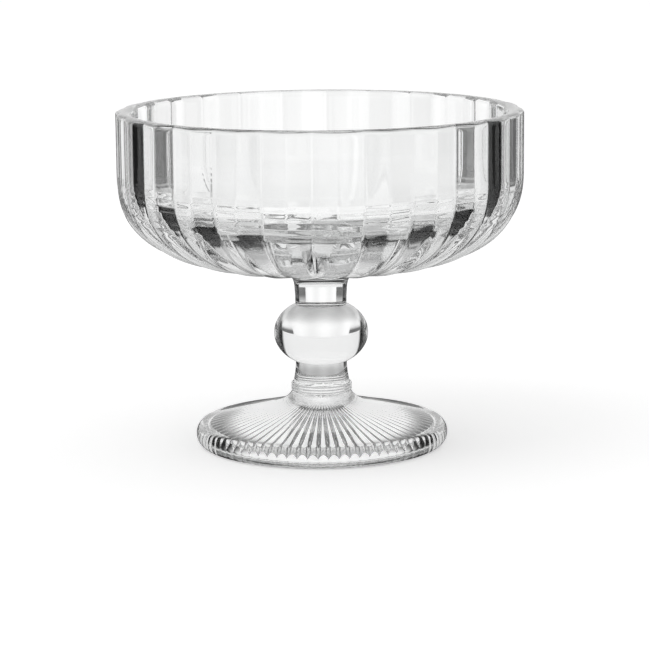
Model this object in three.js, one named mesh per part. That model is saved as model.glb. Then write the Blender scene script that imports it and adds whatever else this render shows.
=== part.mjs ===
// A clear glass dessert cup: a fluted bowl on a ball stem with a ribbed, hollow foot.
// Millimetres, +Z up. The cup stands on z = 0 and is round about the Z axis.
// It is stacked from hot-joined pieces, and each meets the next on a flat round seat.
import * as THREE from "three";

// Foot: a low cone with a bull-nosed edge, a flare at the top and a ribbed hollow below
const footDiameter = 75;
const footHeight = 16;
const edgeHeight = 6.6;
const edgeRounding = 2.6;
const standingRingWidth = 2;
const ringWallHeight = 2.4;
const ringWallTaper = 0.5;
const flareHeight = 4.6;
const flareDiameter = 20;
const coneTopDiameter = 32;
const hollowDepth = 10.8;
const hollowCeilingDiameter = 16;
const ribCount = 70;
const ribDepth = 0.8;
const ribRunIn = 1.5;

// Foot collar: a stack of fine rings between the foot and the stem
const footCollarDiameter = 17.4;
const footCollarHeight = 2.4;
const ringCount = 3;
const ringBulge = 0.3;

// Stem: a flattened ball between two necks
const neckDiameter = 15.2;
const lowerNeckHeight = 6.4;
const lowerNeckFootDiameter = 16.8;
const ballDiameter = 28;
const ballHeight = 17.2;
const upperNeckHeight = 4.8;
const upperNeckTopDiameter = 15.6;

// Bowl collar: the flare that carries the bowl
const bowlCollarHeight = 6.4;
const bowlCollarTopDiameter = 24;
const bowlCollarTurn = 4;

// Bowl: a straight fluted wall over a full round body
const rimDiameter = 120;
const bowlHeight = 46.8;
const bodyHeight = 28.6;
const bodyFullness = 2.5;
const wallThickness = 5;
const lipHeight = 1.2;
const floorThickness = 5;
const insideFullness = 2.4;
const fluteCount = 26;
const fluteDepth = 1;
const fluteSharpness = 1.25;

// Facets
const facetsPerFlute = 4;
const facetsPerRib = 2;
const stemFacets = 40;
const bodySteps = 8;
const insideSteps = 7;
const flareSteps = 4;
const edgeSteps = 3;
const ballSteps = 5;
const lipSteps = 4;
const ringSteps = 2;

// Levels of the seats, from the table upwards
const footTop = footHeight;
const footCollarTop = footTop + footCollarHeight;
const lowerNeckTop = footCollarTop + lowerNeckHeight;
const ballTop = lowerNeckTop + ballHeight;
const upperNeckTop = ballTop + upperNeckHeight;
const bowlSeat = upperNeckTop + bowlCollarHeight;
const rimTop = bowlSeat + bowlHeight;

const glass = () =>
  new THREE.MeshStandardMaterial({
    color: 0xf3f7f6,
    roughness: 0.04,
    metalness: 0,
    transparent: true,
    opacity: 0.35,
  });

const still = new THREE.Vector2(0, 0);

// An outline point at radius r and level z; carve is where the pattern's deepest line moves it.
function mark(r, z, carve = still) {
  return { r, z, carve };
}

// The points of a path as outline points without a pattern
function marksOf(path, steps) {
  return path.getPoints(steps).map(({ x, y }) => mark(x, y));
}

// Turns an outline about the axis; depthAt(angle) is 1 on a pattern's deepest line and 0 on its crest.
function turn(outline, facets, depthAt = () => 0) {
  const points = outline.map(({ r, z }) => new THREE.Vector2(r, z));
  const geometry = new THREE.LatheGeometry(points, facets);
  const position = geometry.getAttribute("position");
  for (let facet = 0; facet <= facets; facet++) {
    const angle = (facet / facets) * 2 * Math.PI;
    const depth = depthAt(angle);
    outline.forEach(({ r, z, carve }, row) => {
      const radius = r + depth * carve.x;
      const index = facet * outline.length + row;
      position.setXYZ(index, radius * Math.sin(angle), -radius * Math.cos(angle), z + depth * carve.y);
    });
  }
  geometry.computeVertexNormals();
  return geometry;
}

// How far an angle lies through one repeat of a pattern, from 0 to 1
function throughRepeat(angle, count) {
  const repeat = (2 * Math.PI) / count;
  return THREE.MathUtils.euclideanModulo(angle, repeat) / repeat;
}

// A full round curve from the lowest point out and up to the side, as a superellipse quarter
function bodyCurve(innerRadius, outerRadius, low, high, fullness, steps) {
  return Array.from({ length: steps + 1 }, (_, step) => {
    const angle = (step / steps) * (Math.PI / 2);
    const across = step === steps ? 1 : Math.sin(angle) ** (2 / fullness);
    const drop = step === steps ? 0 : Math.cos(angle) ** (2 / fullness);
    const r = innerRadius + (outerRadius - innerRadius) * across;
    return mark(r, high - (high - low) * drop);
  });
}

function makeFoot() {
  const radius = footDiameter / 2;
  const flatRadius = radius - edgeRounding;
  const hollowRadius = flatRadius - standingRingWidth;
  const ceilingRadius = hollowCeilingDiameter / 2;
  const coneTop = footHeight - flareHeight;
  const coneSlope = (coneTop - edgeHeight) / (flatRadius - coneTopDiameter / 2);
  const wallTopRadius = hollowRadius - ringWallTaper;
  const hollowSlope = (hollowDepth - ringWallHeight) / (wallTopRadius - ceilingRadius);
  const edge = new THREE.Path();
  edge.absellipse(flatRadius, edgeHeight / 2, edgeRounding, edgeHeight / 2, -Math.PI / 2, Math.PI / 2);
  const flare = new THREE.Path();
  flare.moveTo(coneTopDiameter / 2, coneTop);
  flare.quadraticCurveTo(
    flareDiameter / 2,
    coneTop + coneSlope * (coneTopDiameter / 2 - flareDiameter / 2),
    footCollarDiameter / 2,
    footTop,
  );
  const outline = [
    mark(0, hollowDepth),
    mark(ceilingRadius, hollowDepth),
    mark(ceilingRadius + ribRunIn, hollowDepth - hollowSlope * ribRunIn, new THREE.Vector2(0, ribDepth)),
    mark(wallTopRadius, ringWallHeight, new THREE.Vector2(0, ribDepth)),
    mark(hollowRadius, 0),
    ...marksOf(edge, edgeSteps),
    ...marksOf(flare, flareSteps),
    mark(0, footTop),
  ];
  const ribAt = (angle) => 1 - Math.abs(2 * throughRepeat(angle, ribCount) - 1);
  return turn(outline, ribCount * facetsPerRib, ribAt);
}

function makeFootCollar() {
  const radius = footCollarDiameter / 2;
  const pitch = footCollarHeight / ringCount;
  const rings = new THREE.Path();
  rings.moveTo(0, footTop);
  rings.lineTo(radius, footTop);
  for (let ring = 0; ring < ringCount; ring++) {
    const base = footTop + ring * pitch;
    const top = ring === ringCount - 1 ? footCollarTop : base + pitch;
    rings.quadraticCurveTo(radius + 2 * ringBulge, base + pitch / 2, radius, top);
  }
  rings.lineTo(0, footCollarTop);
  return turn(marksOf(rings, ringSteps), stemFacets);
}

// A neck is straight at its ball end and flares towards its other seat.
function makeNeck(low, high, lowDiameter, highDiameter) {
  const path = new THREE.Path();
  path.moveTo(0, low);
  path.lineTo(lowDiameter / 2, low);
  path.quadraticCurveTo(neckDiameter / 2, (low + high) / 2, highDiameter / 2, high);
  path.lineTo(0, high);
  return turn(marksOf(path, flareSteps), stemFacets);
}

function makeBall() {
  const radius = ballDiameter / 2;
  const seatAngle = Math.acos(neckDiameter / ballDiameter);
  const halfHeight = ballHeight / 2 / Math.sin(seatAngle);
  const middle = (lowerNeckTop + ballTop) / 2;
  const round = new THREE.Path();
  round.absellipse(0, middle, radius, halfHeight, -seatAngle, seatAngle);
  const side = marksOf(round, ballSteps);
  side[0] = mark(neckDiameter / 2, lowerNeckTop);
  side[side.length - 1] = mark(neckDiameter / 2, ballTop);
  return turn([mark(0, lowerNeckTop), ...side, mark(0, ballTop)], stemFacets);
}

function makeBowlCollar() {
  const path = new THREE.Path();
  path.moveTo(0, upperNeckTop);
  path.lineTo(upperNeckTopDiameter / 2, upperNeckTop);
  path.quadraticCurveTo(
    upperNeckTopDiameter / 2,
    upperNeckTop + bowlCollarTurn,
    bowlCollarTopDiameter / 2,
    bowlSeat,
  );
  path.lineTo(0, bowlSeat);
  return turn(marksOf(path, flareSteps), stemFacets);
}

function makeBowl() {
  const outerRadius = rimDiameter / 2;
  const seatRadius = bowlCollarTopDiameter / 2;
  const bodyTop = bowlSeat + bodyHeight;
  const lipRadius = wallThickness / 2;
  const lipCentre = outerRadius - lipRadius;
  const outside = bodyCurve(seatRadius, outerRadius, bowlSeat, bodyTop, bodyFullness, bodySteps);
  // Flutes sink square to the wall, shallower where they crowd together under the bowl.
  outside.forEach((point, row) => {
    const before = outside[Math.max(row - 1, 0)];
    const after = outside[Math.min(row + 1, outside.length - 1)];
    const along = new THREE.Vector2(after.r - before.r, after.z - before.z).normalize();
    const depth = (fluteDepth * (point.r - seatRadius)) / (outerRadius - seatRadius);
    point.carve = new THREE.Vector2(-along.y * depth, along.x * depth);
  });
  const lipPath = new THREE.Path();
  lipPath.absellipse(lipCentre, rimTop - lipHeight, lipRadius, lipHeight, 0, Math.PI);
  const lip = marksOf(lipPath, lipSteps);
  // They run out over the outer half of the lip.
  lip.forEach((point) => {
    const share = Math.max((point.r - lipCentre) / lipRadius, 0);
    point.carve = new THREE.Vector2(-fluteDepth * share, 0);
  });
  const inside = bodyCurve(
    0,
    outerRadius - wallThickness,
    bowlSeat + floorThickness,
    bodyTop,
    insideFullness,
    insideSteps,
  ).reverse();
  const outline = [mark(0, bowlSeat), ...outside, ...lip, ...inside];
  const fluteAt = (angle) => Math.abs(2 * throughRepeat(angle, fluteCount) - 1) ** fluteSharpness;
  return turn(outline, fluteCount * facetsPerFlute, fluteAt);
}

const cup = new THREE.Group();

function add(name, geometry) {
  const mesh = new THREE.Mesh(geometry, glass());
  mesh.name = name;
  cup.add(mesh);
}

add("foot", makeFoot());
add("foot_collar", makeFootCollar());
add("lower_neck", makeNeck(footCollarTop, lowerNeckTop, lowerNeckFootDiameter, neckDiameter));
add("ball_knop", makeBall());
add("upper_neck", makeNeck(ballTop, upperNeckTop, neckDiameter, upperNeckTopDiameter));
add("bowl_collar", makeBowlCollar());
add("bowl", makeBowl());

export default cup;
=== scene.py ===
import math

import bmesh
import bpy
from mathutils import Matrix, Vector


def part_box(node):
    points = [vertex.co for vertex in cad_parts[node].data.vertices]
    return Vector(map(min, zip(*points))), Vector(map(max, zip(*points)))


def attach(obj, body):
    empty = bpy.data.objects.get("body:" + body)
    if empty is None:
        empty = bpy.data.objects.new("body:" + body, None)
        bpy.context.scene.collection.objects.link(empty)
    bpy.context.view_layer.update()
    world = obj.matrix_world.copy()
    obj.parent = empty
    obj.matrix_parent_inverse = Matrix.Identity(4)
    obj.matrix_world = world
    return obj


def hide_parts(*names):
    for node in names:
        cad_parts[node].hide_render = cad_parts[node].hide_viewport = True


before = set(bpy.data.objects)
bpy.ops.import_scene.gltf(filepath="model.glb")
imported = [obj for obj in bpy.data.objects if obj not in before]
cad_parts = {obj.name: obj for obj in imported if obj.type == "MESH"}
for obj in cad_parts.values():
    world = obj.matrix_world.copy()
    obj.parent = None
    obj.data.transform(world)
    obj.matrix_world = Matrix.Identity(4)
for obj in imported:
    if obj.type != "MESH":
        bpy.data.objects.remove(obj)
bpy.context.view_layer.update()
scene = bpy.context.scene
mm = 0.001
weld = 0.001 * mm
fullTurn = 2 * math.pi
print("frame loaded with", len(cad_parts), "glass solids")


class Wire:
    # a shader socket that can stand in a sum
    def __init__(self, graph, socket):
        self.graph = graph
        self.socket = socket

    def maths(self, operation, first, second):
        return self.graph.add("ShaderNodeMath", {"operation": operation}, {0: first, 1: second})

    def __add__(self, other):
        return self.maths("ADD", self, other)

    def __radd__(self, other):
        return self.maths("ADD", other, self)

    def __sub__(self, other):
        return self.maths("SUBTRACT", self, other)

    def __rsub__(self, other):
        return self.maths("SUBTRACT", other, self)

    def __mul__(self, other):
        return self.maths("MULTIPLY", self, other)

    def __rmul__(self, other):
        return self.maths("MULTIPLY", other, self)

    def __truediv__(self, other):
        return self.maths("DIVIDE", self, other)

    def __rtruediv__(self, other):
        return self.maths("DIVIDE", other, self)

    def __pow__(self, other):
        return self.maths("POWER", self, other)

    def __or__(self, other):
        return self.maths("MAXIMUM", self, other)

    def other(self, name):
        return Wire(self.graph, self.socket.node.outputs[name])


class Graph:
    # the nodes of one material or of the world
    def __init__(self, owner):
        owner.use_nodes = True
        self.tree = owner.node_tree
        self.tree.nodes.clear()

    def add(self, kind, settings, sockets):
        node = self.tree.nodes.new(kind)
        for name, value in settings.items():
            setattr(node, name, value)
        for name, value in sockets.items():
            if isinstance(value, Wire):
                self.tree.links.new(value.socket, node.inputs[name])
            else:
                node.inputs[name].default_value = value
        return Wire(self, node.outputs[0]) if node.outputs else None

    # 0 below low and 1 above high, with a soft step between them
    def step(self, value, low, high):
        return self.add("ShaderNodeMapRange", {"interpolation_type": "SMOOTHSTEP"},
                        {"Value": value, "From Min": low, "From Max": high})


# Clear glass

clearGlass = {
    "bending": 1.5,
    "tint": (0.985, 0.992, 0.99, 1.0),
    "paleTint": (1.0, 1.0, 1.0, 1.0),
    "cloudSize": 30 * mm,
    "cloudDetail": 2.0,
    "haze": 0.012,
    "hazeEdge": (0.55, 0.75),
    "rippleSize": 9 * mm,
    "rippleDetail": 1.0,
    "rippleDepth": 0.004,  # mm, as is chillDepth
    "chillPitch": 1.9 * mm,
    "chillBend": 3.0,
    "chillSpread": 0.28,
    "chillDepth": 0.028,
    "chillLow": (67 * mm, 73 * mm),
    "chillHigh": (78 * mm, 83 * mm),
}


def makeClearGlass():
    material = bpy.data.materials.new("clearGlass")
    g = Graph(material)
    spot = g.add("ShaderNodeTexCoord", {}, {}).other("Object")
    clouds, ripples = (g.add("ShaderNodeTexNoise", {}, {
        "Vector": spot,
        "Scale": 1 / clearGlass[name + "Size"],
        "Detail": clearGlass[name + "Detail"],
    }) for name in ("cloud", "ripple"))
    # a mix node's colours are its inputs 6 and 7 and its output 2
    colour = g.add("ShaderNodeMix", {"data_type": "RGBA"},
                   {"Factor": clouds, 6: clearGlass["tint"], 7: clearGlass["paleTint"]}).other(2)
    # chill lines lie level round the body; a wave node of scale 1 repeats every tenth of pi
    chill = g.add("ShaderNodeTexWave", {"bands_direction": "Z"}, {
        "Vector": spot,
        "Scale": math.pi / 10 / clearGlass["chillPitch"],
        "Distortion": clearGlass["chillBend"],
        "Detail": 0.0,
        "Detail Scale": clearGlass["chillSpread"],
    }).other("Fac")
    z = g.add("ShaderNodeSeparateXYZ", {}, {"Vector": spot}).other("Z")
    onBody = g.step(z, *clearGlass["chillLow"]) * (1 - g.step(z, *clearGlass["chillHigh"]))
    height = ripples * clearGlass["rippleDepth"] + chill * onBody * clearGlass["chillDepth"]
    waves = g.add("ShaderNodeBump", {}, {"Strength": 1.0, "Distance": mm, "Height": height})
    surface = g.add("ShaderNodeBsdfPrincipled", {}, {
        "Base Color": colour,
        "Roughness": clearGlass["haze"] * g.step(clouds, *clearGlass["hazeEdge"]),
        "IOR": clearGlass["bending"],
        "Transmission Weight": 1.0,
        "Normal": waves,
    })
    g.add("ShaderNodeOutputMaterial", {}, {"Surface": surface})
    return material


# Where two pieces are fused the glass runs on, so their seats let light straight through.
def makeFusedSeat():
    material = bpy.data.materials.new("fusedSeat")
    g = Graph(material)
    surface = g.add("ShaderNodeBsdfPrincipled", {}, {"Base Color": clearGlass["paleTint"], "Alpha": 0.0})
    g.add("ShaderNodeOutputMaterial", {}, {"Surface": surface})
    return material


glass = makeClearGlass()
seat = makeFusedSeat()
print("glass mixed")


# Turning

def level(node):
    low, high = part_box(node)
    return low.z, high.z


def reach(node):
    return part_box(node)[1].x


def arcPoints(centre, radii, start, end, steps):
    turns = (math.radians(start + (end - start) * i / steps) for i in range(steps + 1))
    return [(centre[0] + radii[0] * math.cos(t), centre[1] + radii[1] * math.sin(t)) for t in turns]


# a curve that leaves its start towards the corner and comes into its end from it
def bendPoints(start, corner, end, steps):
    spread = [i / steps for i in range(steps + 1)]
    return [tuple((1 - t) ** 2 * a + 2 * t * (1 - t) * b + t * t * c
                  for a, b, c in zip(start, corner, end)) for t in spread]


# a full round quarter from the lowest point out and up to the side
def bodyPoints(inner, outer, low, high, fullness, steps):
    turns = [i / steps * math.pi / 2 for i in range(steps)]
    points = [(inner + (outer - inner) * math.sin(t) ** (2 / fullness),
               high - (high - low) * math.cos(t) ** (2 / fullness)) for t in turns]
    return points + [(outer, high)]


def straightPoints(start, end, steps):
    return [tuple(a + (b - a) * i / steps for a, b in zip(start, end)) for i in range(steps + 1)]


# an outline of (radius, level) as points, each with room for how far a pattern sinks it
def startOutline(outline):
    bm = bmesh.new()
    sink = bm.verts.layers.float_vector.new("sink")
    return bm, sink, [bm.verts.new((0, -r, z)) for r, z in outline]


# spins the points once round the axis and welds the seam and the poles
def spinOutline(bm, points, steps):
    edges = [bm.edges.new(pair) for pair in zip(points, points[1:])]
    bmesh.ops.spin(bm, geom=points + edges, cent=(0, 0, 0), axis=(0, 0, 1), angle=fullTurn,
                   steps=steps, use_merge=True)
    bmesh.ops.remove_doubles(bm, verts=bm.verts, dist=weld)


def throughRepeat(vert, count):
    angle = math.atan2(vert.co.x, -vert.co.y)
    return angle / fullTurn * count % 1


def keepPiece(bm, name, node, seats, crease):
    bmesh.ops.recalc_face_normals(bm, faces=bm.faces)
    for face in bm.faces:
        face.smooth = True
        onSeat = [z for z in seats if all(abs(v.co.z - z) < weld for v in face.verts)]
        face.material_index = 1 if onSeat else 0
    for edge in bm.edges:
        edge.smooth = edge.calc_face_angle(0) < math.radians(crease)
    bm.verts.layers.float_vector.remove(bm.verts.layers.float_vector["sink"])
    mesh = bpy.data.meshes.new(name)
    bm.to_mesh(mesh)
    bm.free()
    mesh.materials.append(glass)
    mesh.materials.append(seat)
    piece = bpy.data.objects.new(name, mesh)
    scene.collection.objects.link(piece)
    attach(piece, "root")
    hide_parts(node)
    print(name, "made with", len(mesh.polygons), "faces")


# Bowl

bowl = {
    "flutes": 26,
    "fluteSteps": 24,
    "fluteDepth": 1.0 * mm,
    "fluteSharpness": 1.25,
    "valleyShare": 0.1,  # how much deeper the groove's own line is
    "seatRadius": 12 * mm,
    "bodyHeight": 28.6 * mm,
    "bodyFullness": 2.5,
    "wall": 5.0 * mm,
    "lipRise": 1.2 * mm,
    "floor": 5.0 * mm,
    "insideFullness": 2.4,
    "bodySteps": 44,
    "wallSteps": 14,
    "lipSteps": 12,
    "crease": 60,
}


def makeBowl():
    low, high = level("bowl")
    outer = reach("bowl")
    bodyTop = low + bowl["bodyHeight"]
    lip = bowl["wall"] / 2
    lipLevel = high - bowl["lipRise"]
    body = bodyPoints(bowl["seatRadius"], outer, low, bodyTop, bowl["bodyFullness"], bowl["bodySteps"])
    wall = straightPoints((outer, bodyTop), (outer, lipLevel), bowl["wallSteps"])
    inner = outer - bowl["wall"]
    inside = bodyPoints(0, inner, low + bowl["floor"], bodyTop, bowl["insideFullness"], bowl["bodySteps"])
    innerWall = straightPoints((inner, lipLevel), (inner, bodyTop), bowl["wallSteps"])
    outline = [(0, low)] + body + wall[1:]
    outside = len(outline)
    outline += arcPoints((outer - lip, lipLevel), (lip, bowl["lipRise"]), 0, 180, bowl["lipSteps"])[1:]
    outline += innerWall[1:] + inside[::-1][1:]

    # flutes sink square to the wall and run out over the outer half of the lip
    bm, sink, points = startOutline(outline)
    for before, point, after in zip(points[1:], points[2:outside], points[3:]):
        along = (after.co - before.co).normalized()
        depth = bowl["fluteDepth"] * (-point.co.y - bowl["seatRadius"]) / (outer - bowl["seatRadius"])
        point[sink] = (-along.z * depth, -along.y * depth, 0)
    for point in points[outside:outside + bowl["lipSteps"] // 2]:
        point[sink] = (-bowl["fluteDepth"] * (-point.co.y - outer + lip) / lip, 0, 0)
    spinOutline(bm, points, bowl["flutes"] * bowl["fluteSteps"])
    for vert in bm.verts:
        fromCrest = abs(2 * throughRepeat(vert, bowl["flutes"]) - 1)
        inValley = bowl["valleyShare"] if fromCrest > 1 - 1 / bowl["fluteSteps"] else 0
        move = vert[sink] * (fromCrest ** bowl["fluteSharpness"] + inValley)
        out = Vector((vert.co.x, vert.co.y, 0)).normalized()
        vert.co += out * move.x + Vector((0, 0, move.y))
    keepPiece(bm, "flutedBowl", "bowl", [low], bowl["crease"])


# Stem

stem = {
    "steps": 192,
    "sideSteps": 24,
    "neckRadius": 7.6 * mm,
    "upperNeckTopRadius": 7.8 * mm,
    "lowerNeckFootRadius": 8.4 * mm,
    "collarTurn": 4 * mm,
    "rings": 3,
    "ringRadius": 8.7 * mm,
    "ringBulge": 0.3 * mm,
    "ringSteps": 8,
    "crease": 40,
}


# a plain turned piece of the stem, with a flat seat at each end
def makeTurned(side, name, node):
    low, high = level(node)
    bm, _, points = startOutline([(0, low)] + side + [(0, high)])
    spinOutline(bm, points, stem["steps"])
    keepPiece(bm, name, node, [low, high], stem["crease"])


def makeBowlCollar():
    low, high = level("bowl_collar")
    neck = stem["upperNeckTopRadius"]
    corner = (neck, low + stem["collarTurn"])
    side = bendPoints((neck, low), corner, (bowl["seatRadius"], high), stem["sideSteps"])
    makeTurned(side, "bowlFlare", "bowl_collar")


def makeNeck(name, node, lowRadius, highRadius):
    low, high = level(node)
    corner = (stem["neckRadius"], (low + high) / 2)
    side = bendPoints((lowRadius, low), corner, (highRadius, high), stem["sideSteps"])
    makeTurned(side, name, node)


def makeBall():
    low, high = level("ball_knop")
    radius = reach("ball_knop")
    seatAngle = math.acos(stem["neckRadius"] / radius)
    rise = (high - low) / 2 / math.sin(seatAngle)
    turn = math.degrees(seatAngle)
    side = arcPoints((0, (low + high) / 2), (radius, rise), -turn, turn, 2 * stem["sideSteps"])
    side[0] = (side[0][0], low)
    side[-1] = (side[-1][0], high)
    makeTurned(side, "stemBall", "ball_knop")


def makeFootCollar():
    low, high = level("foot_collar")
    radius = stem["ringRadius"]
    bulge = radius + 2 * stem["ringBulge"]
    pitch = (high - low) / stem["rings"]
    side = [(radius, low)]
    for ring in range(stem["rings"]):
        base = low + ring * pitch
        top = high if ring == stem["rings"] - 1 else base + pitch
        corner = (bulge, base + pitch / 2)
        side += bendPoints((radius, base), corner, (radius, top), stem["ringSteps"])[1:]
    makeTurned(side, "ringStack", "foot_collar")


# Foot

foot = {
    "ribs": 70,
    "ribSteps": 8,
    "ribDepth": 0.8 * mm,
    "ribRunIn": 1.5 * mm,
    "edgeHeight": 6.6 * mm,
    "edgeRounding": 2.6 * mm,
    "ringWidth": 2 * mm,
    "ringWallHeight": 2.4 * mm,
    "ringWallTaper": 0.5 * mm,
    "flareHeight": 4.6 * mm,
    "flareRadius": 10 * mm,
    "coneTopRadius": 16 * mm,
    "hollowDepth": 10.8 * mm,
    "ceilingRadius": 8 * mm,
    "coneSteps": 14,
    "hollowSteps": 20,
    "edgeSteps": 20,
    "flareSteps": 20,
    "crease": 40,
}


def makeFoot():
    low, high = level("foot")
    radius = reach("foot")
    flat = radius - foot["edgeRounding"]
    hollow = flat - foot["ringWidth"]
    coneTop = high - foot["flareHeight"]
    slope = (coneTop - foot["edgeHeight"]) / (flat - foot["coneTopRadius"])
    corner = (foot["flareRadius"], coneTop + slope * (foot["coneTopRadius"] - foot["flareRadius"]))
    ceiling = foot["ceilingRadius"]
    wallTop = (hollow - foot["ringWallTaper"], foot["ringWallHeight"])
    under = straightPoints((ceiling, foot["hollowDepth"]), wallTop, foot["hollowSteps"])
    half = foot["edgeHeight"] / 2
    edge = arcPoints((flat, half), (foot["edgeRounding"], half), -90, 90, foot["edgeSteps"])
    cone = straightPoints(edge[-1], (foot["coneTopRadius"], coneTop), foot["coneSteps"])
    flare = bendPoints(cone[-1], corner, (stem["ringRadius"], high), foot["flareSteps"])
    outline = [(0, foot["hollowDepth"])] + under + [(hollow, low)] + edge
    outline += cone[1:] + flare[1:] + [(0, high)]

    # ribs sink up into the hollow's cone, from nothing at its ceiling
    bm, sink, points = startOutline(outline)
    for point in points[1:len(under) + 1]:
        runIn = min((-point.co.y - ceiling) / foot["ribRunIn"], 1)
        point[sink] = (0, foot["ribDepth"] * runIn, 0)
    spinOutline(bm, points, foot["ribs"] * foot["ribSteps"])
    for vert in bm.verts:
        depth = 1 - (2 * throughRepeat(vert, foot["ribs"]) - 1) ** 2
        vert.co.z += vert[sink].y * depth
    keepPiece(bm, "ribbedFoot", "foot", [high], foot["crease"])


makeFoot()
makeFootCollar()
makeNeck("lowerNeck", "lower_neck", stem["lowerNeckFootRadius"], stem["neckRadius"])
makeBall()
makeNeck("upperNeck", "upper_neck", stem["neckRadius"], stem["upperNeckTopRadius"])
makeBowlCollar()
makeBowl()


# Studio
# Painted shade: dark zones are painted on the white floor and in the air round it, and only the glass
# sees them.
# Angles are in degrees off the axis that runs from the camera through the cup.
# Reaches and ends are in metres from the middle of the cup.

studio = {
    "floorSize": 12.0,
    "airGap": 0.1 * mm,
    "floorColour": (0.86, 0.86, 0.86, 1.0),
    "floorLift": 0.46,  # the floor's glow as the camera sees it
    "glassLift": 0.47,  # and as the glass sees it
    "white": 1.0,
    "glassWhite": 1.15,
    "unevenness": 0.12,  # faint strips of light and shade on the floor
    "unevenRepeat": 20.0,
    "ambient": 0.8,
    "turn": 2.2,
    "wedgeAngles": (41.0, 47.0),
    "wedgeStop": (78.0, 84.0),
    "wedgeReach": (0.13, 0.145),
    "sideAngles": (24.2, 26.0),
    "sideReach": (0.15, 0.42),
    "sideEnd": (0.8, 1.6),
    "sideShade": 0.85,
    "skirtAngles": (34.0, 54.0),
    "skirtFront": (100.0, 125.0),
    "skirtReach": (0.050, 0.058),
    "skirtEnd": (0.13, 0.21),
    "bibAngles": (50.0, 72.0),
    "bibReach": (0.022, 0.030),
    "bibEnd": (0.07, 0.12),
    "bibShade": 0.97,
    "gloom": 0.45,
    "gloomReach": (0.026, 0.038),
    "gloomEnd": (0.05, 0.16),
    "mirrorShade": 0.92,
    # painted light under the foot, as the glass sees it
    "footLift": 0.4,
    # painted shade: the greys of the dark zones, of the front and of the sky above, as the glass sees
    # them
    "paintedDarkGrey": 0.004,
    "frontGrey": 0.12,
    "frontEdge": (-0.3, 0.1),
    "paintedSkyAngles": (28.0, 50.0),
    "paintedSkyGrey": 0.05,
    "lampWatts": 4.0,
    "lampSize": 1.2,
    "lampPlace": (-0.9, -0.6, 1.6),
}


# how far a place or a way lies along the studio's axis
def alongStudio(x, y):
    turn = math.radians(studio["turn"])
    return y * math.cos(turn) - x * math.sin(turn)


# 0 up to the first angle off the axis and 1 from the second, on both sides; away is the angle's cosine
def offAxis(g, away, angles):
    first, second = (math.cos(math.radians(angle)) for angle in angles)
    return 1 - g.step(away, second, first)


# 1 in the four wedges that lie off the axis, two in front of the cup and two behind it
def inWedges(g, away, angles):
    bothWays = g.add("ShaderNodeMath", {"operation": "ABSOLUTE"}, {0: away})
    return offAxis(g, bothWays, angles) * (1 - offAxis(g, bothWays, studio["wedgeStop"]))


def makeFloor():
    bm = bmesh.new()
    sunk = Matrix.Translation((0, 0, -studio["airGap"]))
    bmesh.ops.create_grid(bm, x_segments=1, y_segments=1, size=studio["floorSize"] / 2, matrix=sunk)
    mesh = bpy.data.meshes.new("floor")
    bm.to_mesh(mesh)
    bm.free()
    floor = bpy.data.objects.new("floor", mesh)
    scene.collection.objects.link(floor)
    material = bpy.data.materials.new("paleFloor")
    g = Graph(material)
    spot = g.add("ShaderNodeTexCoord", {}, {}).other("Object")
    across = g.add("ShaderNodeSeparateXYZ", {}, {"Vector": spot})
    x, y = across.other("X"), across.other("Y")
    path = g.add("ShaderNodeLightPath", {}, {})
    refracted = path.other("Is Transmission Ray")
    inGlass = path.other("Is Glossy Ray") | refracted
    # painted dark reflections: the floor that the glass mirrors is darkened by mirrorShade
    mirrored = path.other("Is Glossy Ray") * (1 - refracted) * studio["mirrorShade"]
    paint = g.add("ShaderNodeBsdfDiffuse", {}, {"Color": studio["floorColour"]})
    far = (x * x + y * y) ** 0.5
    away = alongStudio(x, y) / far
    outsideFoot = g.step(far, *studio["gloomReach"])
    bearing = g.add("ShaderNodeMath", {"operation": "ARCTAN2"}, {0: x, 1: y})
    swing = g.add("ShaderNodeMath", {"operation": "SINE"}, {0: bearing * (360 / studio["unevenRepeat"])})
    uneven = studio["unevenness"] * (1 + swing) / 2
    # painted light: under the foot the floor glows brighter by footLift where the glass sees it
    glassLift = studio["glassLift"] - uneven + studio["footLift"] * (1 - outsideFoot)
    lift = path.other("Is Camera Ray") * studio["floorLift"] + inGlass * glassLift
    glow = g.add("ShaderNodeEmission", {}, {"Strength": lift})
    lit = g.add("ShaderNodeAddShader", {}, {0: paint, 1: glow})
    # painted shade: a near-black floor that the mix below puts into the dark zones, seen only by the
    # glass
    dark = g.add("ShaderNodeBsdfDiffuse", {}, {"Color": (studio["paintedDarkGrey"],) * 3 + (1.0,)})
    # painted shade seen only by the glass: wedges off the axis, side bands, a skirt round the cup and a
    # bib in front of the foot
    wedge = inWedges(g, away, studio["wedgeAngles"]) * g.step(far, *studio["wedgeReach"])
    side = inWedges(g, away, studio["sideAngles"]) * g.step(far, *studio["sideReach"])
    side = side * (1 - g.step(far, *studio["sideEnd"])) * studio["sideShade"]
    skirt = offAxis(g, away, studio["skirtAngles"]) * g.step(far, *studio["skirtReach"])
    skirt = skirt * (1 - g.step(far, *studio["skirtEnd"])) * (1 - offAxis(g, away, studio["skirtFront"]))
    # painted shade: the floor just outside the foot is darker to the glass, fading out further away
    gloom = studio["gloom"] * outsideFoot * (1 - g.step(far, *studio["gloomEnd"]))
    bib = offAxis(g, away, studio["bibAngles"]) * g.step(far, *studio["bibReach"])
    bib = bib * (1 - g.step(far, *studio["bibEnd"])) * studio["bibShade"]
    # painted shade: the zones darken the floor only where the glass sees it
    paintedDark = (wedge | side | skirt | bib | gloom) * inGlass | mirrored
    surface = g.add("ShaderNodeMixShader", {}, {0: paintedDark, 1: lit, 2: dark})
    g.add("ShaderNodeOutputMaterial", {}, {"Surface": surface})
    mesh.materials.append(material)


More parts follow.
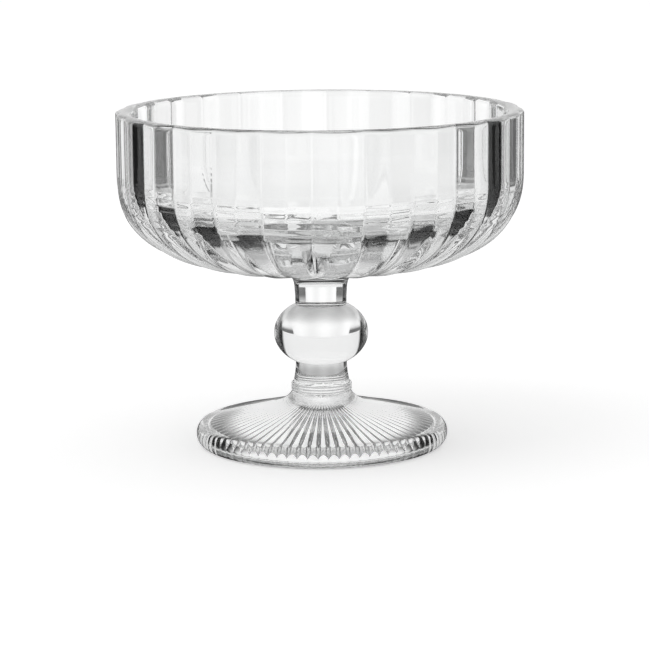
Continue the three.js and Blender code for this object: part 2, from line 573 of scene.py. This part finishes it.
def makeWorld():
    world = bpy.data.worlds.new("studio")
    scene.world = world
    g = Graph(world)
    way = g.add("ShaderNodeTexCoord", {}, {}).other("Generated")
    parts = g.add("ShaderNodeSeparateXYZ", {}, {"Vector": way})
    x, y, z = parts.other("X"), parts.other("Y"), parts.other("Z")
    path = g.add("ShaderNodeLightPath", {}, {})
    camera = path.other("Is Camera Ray")
    refracted = path.other("Is Transmission Ray")
    inGlass = path.other("Is Glossy Ray") | refracted
    away = alongStudio(x, y) / (x * x + y * y) ** 0.5
    # painted shade seen only by the glass: refracted light finds dark wedges off the axis, and mirrored
    # light finds the whole front dark, so that the glass has no veil
    paintedDark = inWedges(g, away, studio["wedgeAngles"]) * refracted
    paintedDark = paintedDark + offAxis(g, away, studio["wedgeAngles"]) * (1 - refracted)
    # painted shade: the front of the air is greyer to the glass
    front = 1 - g.step(y, *studio["frontEdge"])
    paintedDarkLight = studio["paintedDarkGrey"] + studio["frontGrey"] * front
    around = studio["glassWhite"] * (1 - paintedDark) + paintedDark * paintedDarkLight
    # painted shade: the sky high up is grey to the glass, though the camera sees it white
    ceiling = g.step(z, *(math.sin(math.radians(angle)) for angle in studio["paintedSkyAngles"]))
    around = around * (1 - ceiling) + studio["paintedSkyGrey"] * ceiling
    light = camera * studio["white"] + inGlass * around
    light = light + (1 - (camera | inGlass)) * studio["ambient"]
    glow = g.add("ShaderNodeBackground", {}, {"Strength": light})
    g.add("ShaderNodeOutputWorld", {}, {"Surface": glow})


def makeLamp():
    lamp = bpy.data.lights.new("softBox", "AREA")
    lamp.size = studio["lampSize"]
    lamp.energy = studio["lampWatts"]
    holder = bpy.data.objects.new("softBox", lamp)
    holder.location = studio["lampPlace"]
    holder.rotation_euler = (-Vector(studio["lampPlace"])).to_track_quat("-Z", "Y").to_euler()
    holder.visible_glossy = False
    holder.visible_transmission = False
    scene.collection.objects.link(holder)


makeFloor()
makeWorld()
makeLamp()
print("studio lit")


# Camera

camera = {
    "imageSize": 650,
    "focalPixels": 2690,
    "sensor": 36.0,
    "distance": 787 * mm,
    "height": 182 * mm,
    "azimuth": 2.0,
    "tilt": 10.55,
    "turn": -0.085,
    "roll": -0.48,
    "bounces": 32,
}


def makeCamera():
    lens = bpy.data.cameras.new("camera")
    lens.sensor_width = camera["sensor"]
    lens.lens = camera["focalPixels"] / camera["imageSize"] * camera["sensor"]
    eye = bpy.data.objects.new("camera", lens)
    around = math.radians(camera["azimuth"])
    away = camera["distance"]
    place = Vector((away * math.sin(around), -away * math.cos(around), camera["height"]))
    heading = Matrix.Rotation(around + math.radians(camera["turn"]), 4, "Z")
    tilt = Matrix.Rotation(math.radians(90 - camera["tilt"]), 4, "X")
    roll = Matrix.Rotation(math.radians(camera["roll"]), 4, "Z")
    eye.matrix_world = Matrix.Translation(place) @ heading @ tilt @ roll
    scene.collection.objects.link(eye)
    scene.camera = eye


makeCamera()
scene.view_settings.view_transform = "Standard"
scene.cycles.max_bounces = camera["bounces"]
scene.cycles.transmission_bounces = camera["bounces"]
scene.cycles.glossy_bounces = camera["bounces"]
scene.cycles.transparent_max_bounces = 2 * camera["bounces"]
